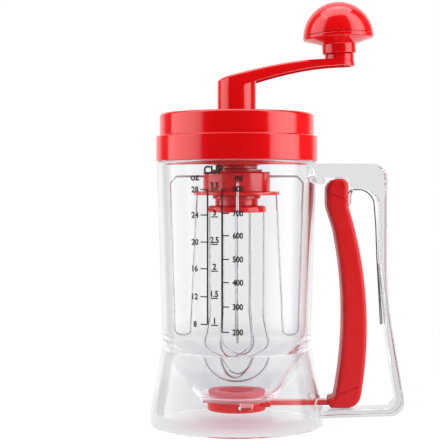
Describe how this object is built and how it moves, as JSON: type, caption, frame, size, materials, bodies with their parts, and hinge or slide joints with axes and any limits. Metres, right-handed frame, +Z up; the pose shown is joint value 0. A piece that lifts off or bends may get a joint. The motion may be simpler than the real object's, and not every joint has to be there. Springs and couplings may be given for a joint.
{
  "type": "pancake batter dispenser",
  "caption": "Clear jug with a screw-off crank lid, counter-rotating wire whisks, and a lever in the handle that slides a gate under the outlet.",
  "frame": {"origin": "centre of the jug's foot, on the surface it stands on", "axes": "+Z up along the jug's axis, +X towards the handle, +Y to the back when the handle is on the right"},
  "size_m": [0.1581, 0.1082, 0.2631],
  "materials": {
    "clear_plastic": "clear polished styrene acrylonitrile, injection moulded",
    "red_gloss": "gloss ABS, injection moulded",
    "red_satin": "satin ABS with a fine moulded grain",
    "red_rubber": "soft silicone rubber",
    "white_rubber": "soft silicone rubber",
    "natural_nylon": "natural nylon, moulded",
    "steel_wire": "bright drawn stainless wire",
    "steel": "turned stainless steel"
  },
  "bodies": {
    "jug": {"jug_body": "clear_plastic", "handle_frame": "clear_plastic", "lever_pivot_pin": "steel", "valve_washer": "red_rubber", "gate_ring": "red_gloss", "lever_spring": "steel_wire"},
    "lid": {"lid_cap": "red_gloss", "gearbox_cover": "red_gloss", "lid_seal": "white_rubber", "cover_screws": "steel", "planet_axles": "steel"},
    "crank": {"crank_arm": "red_gloss", "drive_shaft": "steel", "sun_gear": "natural_nylon", "inner_whisk_hub": "red_gloss", "hub_screw": "steel", "inner_loop_1": "steel_wire", "inner_loop_2": "steel_wire", "inner_loop_3": "steel_wire", "knob_axle": "steel"},
    "knob": {"knob_base": "red_gloss", "knob_dome": "red_gloss"},
    "outer_whisk": {"ring_gear": "natural_nylon", "outer_whisk_hub": "red_gloss", "outer_loop_1": "steel_wire", "outer_loop_2": "steel_wire", "outer_loop_3": "steel_wire", "outer_loop_4": "steel_wire"},
    "planet_1": {"planet_gear_1": "natural_nylon"},
    "planet_2": {"planet_gear_2": "natural_nylon"},
    "planet_3": {"planet_gear_3": "natural_nylon"},
    "lever": {"lever_shell": "red_satin"},
    "gate": {"gate_slide": "red_gloss", "link_pin": "steel"}
  },
  "joints": [
    {"name": "lid_lift", "type": "slide", "parent": "jug", "child": "lid", "axis": [0, 0, 1], "range_m": [0, 0.16]},
    {"name": "crank_spin", "type": "hinge", "parent": "lid", "child": "crank", "pos_m": [0, 0, 0.2], "axis": [0, 0, 1], "continuous": true},
    {"name": "knob_spin", "type": "hinge", "parent": "crank", "child": "knob", "pos_m": [0.0639, 0, 0.2306], "axis": [-0.0523, 0, 0.9986], "continuous": true},
    {"name": "outer_spin", "type": "hinge", "parent": "lid", "child": "outer_whisk", "pos_m": [0, 0, 0.17], "axis": [0, 0, 1], "continuous": true},
    {"name": "planet_1_spin", "type": "hinge", "parent": "lid", "child": "planet_1", "pos_m": [0.02025, 0, 0.17], "axis": [0, 0, 1], "continuous": true},
    {"name": "planet_2_spin", "type": "hinge", "parent": "lid", "child": "planet_2", "pos_m": [-0.01013, 0.01754, 0.17], "axis": [0, 0, 1], "continuous": true},
    {"name": "planet_3_spin", "type": "hinge", "parent": "lid", "child": "planet_3", "pos_m": [-0.01013, -0.01754, 0.17], "axis": [0, 0, 1], "continuous": true},
    {"name": "lever_squeeze", "type": "hinge", "parent": "jug", "child": "lever", "pos_m": [0.0637, 0, 0.1495], "axis": [0, -1, 0], "range_deg": [0, 7.5], "stiffness_Nm_per_rad": 1.5, "springref_deg": -8.59, "deforming": ["lever_spring"]},
    {"name": "gate_travel", "type": "slide", "parent": "jug", "child": "gate", "axis": [1, 0, 0], "range_m": [0, 0.0178]}
  ],
  "couplings": [
    {"joint": "outer_spin", "follows": "crank_spin", "ratio": -0.28571},
    {"joint": "planet_1_spin", "follows": "crank_spin", "ratio": -0.8},
    {"joint": "planet_2_spin", "follows": "crank_spin", "ratio": -0.8},
    {"joint": "planet_3_spin", "follows": "crank_spin", "ratio": -0.8},
    {"joint": "gate_travel", "follows": "lever_squeeze", "m_per_rad": 0.1359}
  ]
}
